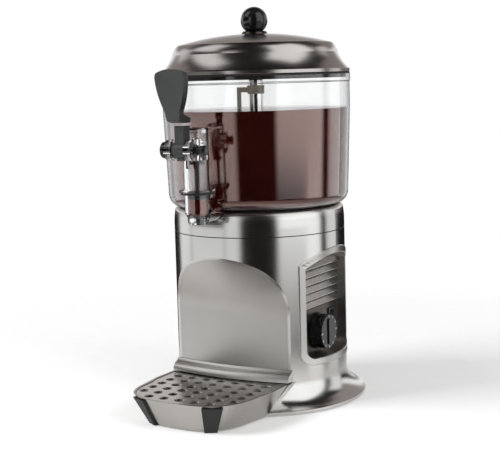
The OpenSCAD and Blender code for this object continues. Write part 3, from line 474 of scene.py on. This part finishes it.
# The surface near the wall: distances in from the wall and down from the level.
SURFACE_EDGE = ((0.05, 0.5), (0.6, 0.1), (2.5, 0.3))
SURFACE_DIP = 0.4  # how far below the level the surface lies further in
COLUMN_FOOT_R = 12.0
# The part that turns with the stirrer: round its blades, and round its sleeve above them.
BLADE_ROOM_R = 95.0
BLADE_ROOM_LOW = BOWL_FLOOR + 4.5
BLADE_ROOM_HIGH = 283.5
CORE_R = 24.0
CORE_GAP = 0.1
TURNING_GAP = 0.2
TURNING_LOW = 238.0
TURNING_IN_R = 11.8
SLEEVE_R = 8.7
SLEEVE_LOW = 279.0
SLEEVE_DIP = 0.6  # how far below the level the surface meets the sleeve
# The ring of drink in the tap's barrel, under the piston.
TAP_RING_R = (10.2, 11.35)
TAP_RING_Z = (229.3, 246.7)
# The drink in the outlet duct, a level bar that starts in the bowl with a dome.
DUCT_R = 9.85
DUCT_Z = 232.0
DUCT_START = 97.0  # before the body's axis
DUCT_END = 11.4  # behind the tap's axis
DUCT_SIDES = 48
DOME_STEPS = 6
DOME_TIP = 0.02  # of the duct's radius


def bowl_corner():
    """The rounded lower edge of the drink, from the floor to the wall."""
    out = []
    for i in range(CORNER_STEPS + 1):
        angle = math.radians(-90 + 90 * i / CORNER_STEPS)
        radius = CORNER_X + CORNER_R * math.cos(angle)
        out.append((radius, BOWL_FLOOR + CORNER_R * (1 + math.sin(angle))))
    return out


def drink_in_bowl():
    """The still drink by the wall and the floor, and the drink that turns with the stirrer."""
    wall = [(BOWL_WALL - inward, LEVEL - down) for inward, down in SURFACE_EDGE]
    inner = [
        (CORE_R + CORE_GAP, LEVEL - SURFACE_DIP),
        (CORE_R + CORE_GAP, BLADE_ROOM_HIGH),
        (BLADE_ROOM_R, BLADE_ROOM_HIGH),
        (BLADE_ROOM_R, BLADE_ROOM_LOW),
        (COLUMN_FOOT_R, BLADE_ROOM_LOW),
    ]
    still = [(COLUMN_FOOT_R, BOWL_FLOOR), *bowl_corner(), *wall, *inner]
    revolved("drink", still, AXIS_Y, "base", turns=160)
    turning = [
        (TURNING_IN_R, TURNING_LOW),
        (BLADE_ROOM_R - TURNING_GAP, TURNING_LOW),
        (BLADE_ROOM_R - TURNING_GAP, BLADE_ROOM_HIGH - TURNING_GAP),
        (CORE_R, BLADE_ROOM_HIGH - TURNING_GAP),
        (CORE_R, LEVEL - SURFACE_DIP),
        (SLEEVE_R, LEVEL - SLEEVE_DIP),
        (SLEEVE_R, SLEEVE_LOW),
        (TURNING_IN_R, SLEEVE_LOW),
    ]
    revolved("drink_round_stirrer", turning, AXIS_Y, "stirrer", turns=96)


def drink_in_tap():
    inner, outer = TAP_RING_R
    low, high = TAP_RING_Z
    profile = [(inner, low), (outer, low), (outer, high), (inner, high)]
    revolved("drink_in_tap", profile, TAP_Y, "base", turns=64)


def drink_in_duct():
    radius = DUCT_R * MM
    start = AXIS_Y - DUCT_START * MM
    end = TAP_Y + DUCT_END * MM
    rings = [(0.0, radius * DOME_TIP)]
    for i in range(1, DOME_STEPS + 1):
        angle = math.radians(90 * i / DOME_STEPS)
        rings.append((radius * (1 - math.cos(angle)), radius * math.sin(angle)))
    rings.append((start + radius - end, radius))
    points = []
    for depth, size in rings:
        for across, up in circle(DUCT_SIDES):
            points.append((size * across, start + radius - depth, DUCT_Z * MM + size * up))
    faces = tube_faces(len(rings), DUCT_SIDES, inverted=False)
    piece("drink_in_duct", points, faces, DRINK, "base")


drink_in_bowl()
drink_in_tap()
drink_in_duct()

# ------------------------------------------------------------------ the tap's spring

SPRING_TURNS = 6
SPRING_WIRE = 1.1 * MM
SPRING_RINGS = 36  # rings of points in each turn
SPRING_SIDES = 12
END_TURNS = 0.035  # how much closer the end turns lie, as a share of the spring's height


def return_spring():
    """A helix of round wire whose end turns lie close."""
    low, high = (Vector(corner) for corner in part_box("piston_spring"))
    wire = SPRING_WIRE / 2
    radius = (high.x - low.x) / 2 - wire
    rings = SPRING_TURNS * SPRING_RINGS + 1
    points = []
    for i in range(rings):
        along = i / (rings - 1)
        angle = 2 * math.pi * i / SPRING_RINGS
        out = Vector((math.cos(angle), math.sin(angle), 0))
        rise = along - END_TURNS * math.sin(2 * math.pi * along)
        z = low.z + wire + (high.z - low.z - SPRING_WIRE) * rise
        for across, up in circle(SPRING_SIDES):
            points.append(Vector((0, TAP_Y, z + wire * up)) + out * (radius + wire * across))
    faces = tube_faces(rings, SPRING_SIDES, inverted=True)
    spring = piece("return_spring", points, faces, BRIGHT, "base")
    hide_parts("piston_spring")
    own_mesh(spring)


return_spring()

# ------------------------------------------------------------------ dial marks

DIAL = Vector((0.0, AXIS_Y, 79.2 * MM))
FACE_X = 90.9 * MM
MARK_T = 0.12 * MM
DIGIT_R = 16.6 * MM
DIGIT_W = 1.5 * MM
DIGIT_H = 2.6 * MM
STROKE = 0.55 * MM
DIGIT_STEP = 30  # degrees from one figure to the next
# Strokes of each figure in a box one wide and one high, from its lower left corner.
FIGURES = {
    1: [(0.5, 0, 0.5, 1)],
    2: [(0, 1, 1, 1), (1, 1, 1, 0.5), (1, 0.5, 0, 0.5), (0, 0.5, 0, 0), (0, 0, 1, 0)],
    3: [(0, 1, 1, 1), (1, 1, 1, 0), (0.2, 0.5, 1, 0.5), (0, 0, 1, 0)],
    4: [(0, 1, 0, 0.45), (0, 0.45, 1, 0.45), (0.8, 1, 0.8, 0)],
    5: [(1, 1, 0, 1), (0, 1, 0, 0.5), (0, 0.5, 1, 0.5), (1, 0.5, 1, 0), (1, 0, 0, 0)],
    6: [(1, 1, 0, 1), (0, 1, 0, 0), (0, 0, 1, 0), (1, 0, 1, 0.5), (1, 0.5, 0, 0.5)],
    7: [(0, 1, 1, 1), (1, 1, 0.4, 0)],
    8: [(0, 0, 1, 0), (0, 1, 1, 1), (0, 0, 0, 1), (1, 0, 1, 1), (0, 0.5, 1, 0.5)],
    9: [(0, 0, 1, 0), (1, 0, 1, 1), (1, 1, 0, 1), (0, 1, 0, 0.5), (0, 0.5, 1, 0.5)],
}
# The faces of a box whose back corners are 0 to 3 and whose front corners are 4 to 7.
BOX_ENDS = ((3, 2, 1, 0), (4, 5, 6, 7))
BOX_SIDES = ((0, 1, 5, 4), (1, 2, 6, 5), (2, 3, 7, 6), (3, 0, 4, 7))


def on_face(angle, across, out):
    """A point on the dial's front: out from its centre, and across to the right of that line."""
    outward = Vector((0, math.sin(angle), math.cos(angle)))
    side = Vector((0, math.cos(angle), -math.sin(angle)))
    return DIAL + outward * out + side * across


def stroke(angle, ends):
    """The four corners of one stroke, given its ends as across and out."""
    (x0, y0), (x1, y1) = ends
    length = math.hypot(x1 - x0, y1 - y0)
    ux = (x1 - x0) / length * STROKE / 2
    uy = (y1 - y0) / length * STROKE / 2
    flat = [(x0 - ux + uy, y0 - uy - ux), (x1 + ux + uy, y1 + uy - ux)]
    flat += [(x1 + ux - uy, y1 + uy + ux), (x0 - ux - uy, y0 - uy + ux)]
    return [on_face(angle, x, y) for x, y in flat]


def figure(name, angle, strokes):
    """White printed strokes on the dial's front."""
    points = []
    faces = []
    for ends in strokes:
        base = len(points)
        corners = stroke(angle, ends)
        for x in (FACE_X, FACE_X + MARK_T):
            points += [corner + Vector((x, 0, 0)) for corner in corners]
        for quad in BOX_ENDS + BOX_SIDES:
            faces.append(tuple(base + i for i in quad))
    piece(name, points, faces, MARK, "dial", smooth=False)


def in_digit(x, y):
    """A place in a figure's box, as across and out on the dial."""
    return (x - 0.5) * DIGIT_W, DIGIT_R + y * DIGIT_H


for number, shape in FIGURES.items():
    strokes = [(in_digit(x0, y0), in_digit(x1, y1)) for x0, y0, x1, y1 in shape]
    figure(f"dial_figure_{number}", math.radians(DIGIT_STEP * number), strokes)
figure("dial_zero_mark", 0.0, [(in_digit(0.5, 0), in_digit(0.5, 1))])

# ------------------------------------------------------------------ camera

CAMERA_PLACE = (0.7080, -1.18115, 0.3801)
LENS = 85.34
SENSOR = 36
# The camera looks inward from so far round to the right, tilted down and turned a little.
VIEW_AZ = math.radians(30.59)
VIEW_PITCH = math.radians(7.21)
VIEW_ROLL = math.radians(-1.58)


def make_camera():
    data = bpy.data.cameras.new("camera")
    data.lens = LENS
    data.sensor_width = SENSOR
    data.sensor_fit = "HORIZONTAL"
    data.clip_start = 0.05
    data.clip_end = 50
    obj = bpy.data.objects.new("camera", data)
    bpy.context.scene.collection.objects.link(obj)
    forward = Vector(
        (
            -math.sin(VIEW_AZ) * math.cos(VIEW_PITCH),
            math.cos(VIEW_AZ) * math.cos(VIEW_PITCH),
            -math.sin(VIEW_PITCH),
        )
    )
    flat_right = Vector((math.cos(VIEW_AZ), math.sin(VIEW_AZ), 0))
    flat_up = flat_right.cross(forward)
    right = flat_right * math.cos(VIEW_ROLL) + flat_up * math.sin(VIEW_ROLL)
    up = -flat_right * math.sin(VIEW_ROLL) + flat_up * math.cos(VIEW_ROLL)
    turn = Matrix((right, up, -forward)).transposed().to_4x4()
    obj.matrix_world = Matrix.Translation(CAMERA_PLACE) @ turn
    bpy.context.scene.camera = obj


# ------------------------------------------------------------------ floor

FLOOR_HALF = 3.0
FLOOR_GRAIN = (40, 40, 40)
FLOOR_DARK = (0.86, 0.86, 0.86)
FLOOR_LIGHT = (0.88, 0.88, 0.88)
FLOOR_GLOW = 0.2
# Radii between which the floor fades out, to the camera and as polished metal mirrors it.
FLOOR_FADE = (0.30, 0.75)
FLOOR_MIRRORED = (0.20, 0.36)


def floor_paper():
    """Pale matt paper that glows a little and fades out with its distance from the machine."""
    s = Shader("floor_paper")
    grain = s.noise(s.scaled(FLOOR_GRAIN), detail=2.0)
    s.put("Base Color", s.blend(grain, (FLOOR_DARK, FLOOR_LIGHT)))
    s.put("Roughness", 0.9)
    s.put("Specular IOR Level", 0.0)
    s.put("Emission Color", (1, 1, 1, 1))
    ray = s.nodes.new("ShaderNodeLightPath").outputs
    seen = s.math("MAXIMUM", ray["Is Camera Ray"], ray["Is Glossy Ray"])
    seen = s.math("MAXIMUM", seen, ray["Is Transmission Ray"])
    s.put("Emission Strength", s.math("MULTIPLY", seen, FLOOR_GLOW))
    radius = s.vector_math("LENGTH", s.coords).outputs["Value"]
    mirrored = s.math(
        "MULTIPLY", s.spread(radius, 0.0, 1.0, *FLOOR_MIRRORED), ray["Is Glossy Ray"]
    )
    away = s.math("MAXIMUM", s.spread(radius, 0.0, 1.0, *FLOOR_FADE), mirrored)
    hidden = s.nodes.new("ShaderNodeBsdfTransparent").outputs[0]
    surface = s.mix(away, s.main.outputs[0], hidden)
    s.link(surface, s.nodes["Material Output"].inputs["Surface"])
    return s.mat


def make_floor():
    """A pale floor that keeps the shadow and fades into the white background."""
    mesh = bpy.data.meshes.new("floor")
    corners = ((-1, -1), (1, -1), (1, 1), (-1, 1))
    mesh.from_pydata([(x * FLOOR_HALF, y * FLOOR_HALF, 0) for x, y in corners], [], [(0, 1, 2, 3)])
    obj = bpy.data.objects.new("floor", mesh)
    bpy.context.scene.collection.objects.link(obj)
    mesh.materials.append(floor_paper())


# ------------------------------------------------------------------ light

AMBIENT = 0.42
DARK = 0.012  # polished metal sees this between the panels
WARM = (1.0, 0.84, 0.79)
COOL = (0.965, 0.985, 1.0)
TINT_PLACES = (0.1, 0.9)  # strengths that are warm and cool
# The studio as polished metal sees it: azimuth from and to, elevation from and to, strength.
PANELS = (
    (-36, 28, -10.3, 62, 1.6),
    (4, 28, -16, 62, 1.6),
    (41, 64, -16, 28, 1.15),
    (-107, -87, -16, 28, 1.15),
    (165, 195, -16, 28, 1.15),
    (195, 240, 26, 64, 1.35),
    (195, 253, -22, -3, 1.15),
    (64, 176, 2, 14, 1.3),
    (64, 176, 12, 45, 0.4),
    (-180, 180, -90, -21, 0.5),
)
# One more, low down at the sides, for what lies behind a clear wall.
DRINK_PANEL = (66, 176, -18, 3, 0.9)
# Half the width of a panel's soft edges, in degrees.
SOFT_LOW = 4
SOFT_HIGH = 5
SOFT_SIDE = 5
LAMP_TARGET = (0, 0.03, 0.2)
# Place, size and power of each lamp.
LAMPS = {
    "key_left": ((-1.3, -1.2, 1.5), (1.0, 1.0), 36),
    "fill_right": ((1.5, -0.3, 1.0), (0.9, 1.2), 12),
}


class Studio(Shader):
    """The world's node tree: white to the camera, panels of light to metal, plain grey otherwise."""

    def __init__(self, world):
        self.start(world.node_tree)
        self.nodes.clear()
        toward = self.split(self.nodes.new("ShaderNodeTexCoord").outputs["Generated"])
        level = self.join(toward["X"], toward["Y"])
        self.flat = self.vector_math("NORMALIZE", level).outputs[0]
        self.rise = toward["Z"]

    def step(self, value, low, high):
        """A smooth step from 0 at low to 1 at high."""
        node = self.nodes.new("ShaderNodeMapRange")
        node.interpolation_type = "SMOOTHSTEP"
        self.link(value, node.inputs["Value"])
        node.inputs["From Min"].default_value = low
        node.inputs["From Max"].default_value = high
        return node.outputs[0]

    def facing(self, degrees):
        """The cosine between a ray's level direction and an azimuth."""
        node = self.vector_math("DOT_PRODUCT", self.flat)
        angle = math.radians(degrees)
        node.inputs[1].default_value = (math.cos(angle), math.sin(angle), 0)
        return node.outputs["Value"]

    def panel(self, start, end, low, high, strength):
        """A patch of sky between two azimuths and two elevations, soft at each edge that it has."""
        top = [math.sin(math.radians(a)) for a in (high - SOFT_HIGH, high + SOFT_HIGH)]
        value = self.math("SUBTRACT", 1.0, self.step(self.rise, *top))
        if low > -90:
            foot = [math.sin(math.radians(a)) for a in (low - SOFT_LOW, low + SOFT_LOW)]
            value = self.math("MULTIPLY", value, self.step(self.rise, *foot))
        if end - start < 360:
            half = (end - start) / 2
            side = [math.cos(math.radians(a)) for a in (half + SOFT_SIDE, half - SOFT_SIDE)]
            value = self.math("MULTIPLY", value, self.step(self.facing((start + end) / 2), *side))
        return self.math("MULTIPLY", value, strength)

    def background(self, strength, colour=(1, 1, 1, 1)):
        node = self.nodes.new("ShaderNodeBackground")
        self.fill(node.inputs["Color"], colour)
        self.fill(node.inputs["Strength"], strength)
        return node.outputs[0]


def make_world():
    world = bpy.data.worlds.new("studio")
    bpy.context.scene.world = world
    world.use_nodes = True
    s = Studio(world)
    ray = s.nodes.new("ShaderNodeLightPath").outputs
    through = ray["Is Transmission Ray"]
    mirrored = s.math("GREATER_THAN", ray["Glossy Depth"], 0.5)
    straight = s.math("SUBTRACT", 1.0, mirrored)
    shown = s.math("MAXIMUM", ray["Is Camera Ray"], s.math("MULTIPLY", through, straight))
    shiny = s.math("MAXIMUM", ray["Is Glossy Ray"], s.math("MULTIPLY", through, mirrored))
    bright = DARK
    for panel in PANELS:
        bright = s.math("MAXIMUM", s.panel(*panel), bright)
    bright = s.math("MAXIMUM", bright, s.math("MULTIPLY", through, s.panel(*DRINK_PANEL)))
    tint = s.blend(bright, (WARM, COOL), TINT_PLACES)
    light = s.mix(shiny, s.background(AMBIENT), s.background(bright, tint))
    light = s.mix(shown, light, s.background(1.0))
    output = s.nodes.new("ShaderNodeOutputWorld")
    s.link(light, output.inputs["Surface"])


def softbox(name, place, size, power):
    data = bpy.data.lights.new(name, "AREA")
    data.shape = "RECTANGLE"
    data.size, data.size_y = size
    data.energy = power
    obj = bpy.data.objects.new(name, data)
    bpy.context.scene.collection.objects.link(obj)
    aim = Vector(LAMP_TARGET) - Vector(place)
    obj.location = place
    obj.rotation_mode = "QUATERNION"
    obj.rotation_quaternion = aim.to_track_quat("-Z", "Y")
    obj.visible_camera = False
    obj.visible_glossy = False
    obj.visible_transmission = False


make_camera()
make_floor()
make_world()
for name, lamp in LAMPS.items():
    softbox(name, *lamp)

scene = bpy.context.scene
scene.view_settings.view_transform = "Standard"
